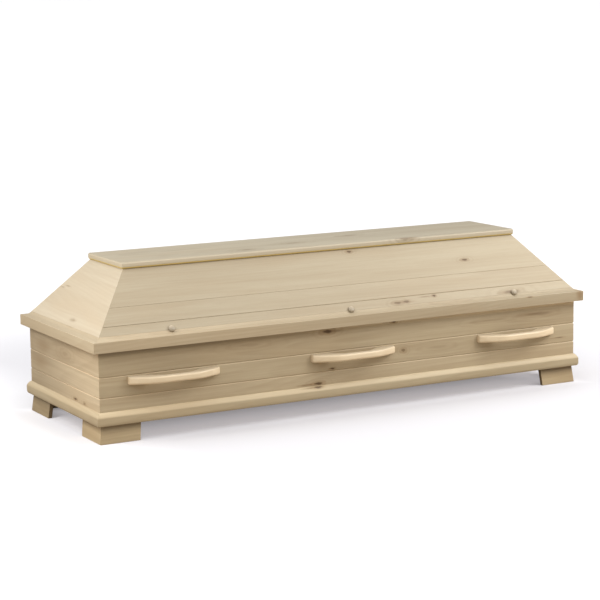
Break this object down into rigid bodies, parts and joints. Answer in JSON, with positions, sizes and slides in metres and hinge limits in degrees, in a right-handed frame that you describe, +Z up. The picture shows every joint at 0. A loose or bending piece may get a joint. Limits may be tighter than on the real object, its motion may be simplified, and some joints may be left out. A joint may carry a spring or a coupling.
{
  "type": "wooden coffin",
  "caption": "Plain pine coffin: boarded walls with a moulded base on splayed corner feet, bowed wooden side grips and a hipped lift-off lid with a flat top board.",
  "frame": {"origin": "on the ground, under the middle of the coffin", "axes": "+X along the length, -Y out of the long side that the picture shows, +Z up"},
  "size_m": [2.05, 0.7544, 0.596],
  "materials": {
    "wall_pine": "planed bare pine with a thin wax",
    "moulding_pine": "planed bare pine with a thin wax",
    "foot_pine": "planed bare pine",
    "floor_pine": "sanded pine",
    "rim_pine": "planed bare pine with a thin wax",
    "lid_pine": "planed bare pine with a thin wax",
    "top_pine": "planed bare pine with a thin wax",
    "grip_beech": "sanded pale beech",
    "button_beech": "turned pale beech"
  },
  "bodies": {
    "root": {"front_wall_lower_board": "wall_pine", "front_wall_middle_board": "wall_pine", "front_wall_upper_board": "wall_pine", "back_wall_lower_board": "wall_pine", "back_wall_middle_board": "wall_pine", "back_wall_upper_board": "wall_pine", "left_wall_lower_board": "wall_pine", "left_wall_middle_board": "wall_pine", "left_wall_upper_board": "wall_pine", "right_wall_lower_board": "wall_pine", "right_wall_middle_board": "wall_pine", "right_wall_upper_board": "wall_pine", "floor_panel": "floor_pine", "front_base_moulding": "moulding_pine", "back_base_moulding": "moulding_pine", "left_base_moulding": "moulding_pine", "right_base_moulding": "moulding_pine", "front_left_foot_side_board": "foot_pine", "front_left_foot_end_board": "foot_pine", "front_right_foot_side_board": "foot_pine", "front_right_foot_end_board": "foot_pine", "back_left_foot_side_board": "foot_pine", "back_left_foot_end_board": "foot_pine", "back_right_foot_side_board": "foot_pine", "back_right_foot_end_board": "foot_pine", "front_lid_rim": "rim_pine", "back_lid_rim": "rim_pine", "left_lid_rim": "rim_pine", "right_lid_rim": "rim_pine", "front_lid_lower_board": "lid_pine", "front_lid_middle_board": "lid_pine", "front_lid_upper_board": "lid_pine", "back_lid_lower_board": "lid_pine", "back_lid_middle_board": "lid_pine", "back_lid_upper_board": "lid_pine", "left_lid_end_panel": "lid_pine", "right_lid_end_panel": "lid_pine", "lid_top_board": "top_pine", "front_left_grip": "grip_beech", "front_centre_grip": "grip_beech", "front_right_grip": "grip_beech", "back_left_grip": "grip_beech", "back_centre_grip": "grip_beech", "back_right_grip": "grip_beech", "front_left_lid_button": "button_beech", "front_centre_lid_button": "button_beech", "front_right_lid_button": "button_beech", "back_left_lid_button": "button_beech", "back_centre_lid_button": "button_beech", "back_right_lid_button": "button_beech"}
  },
  "joints": []
}
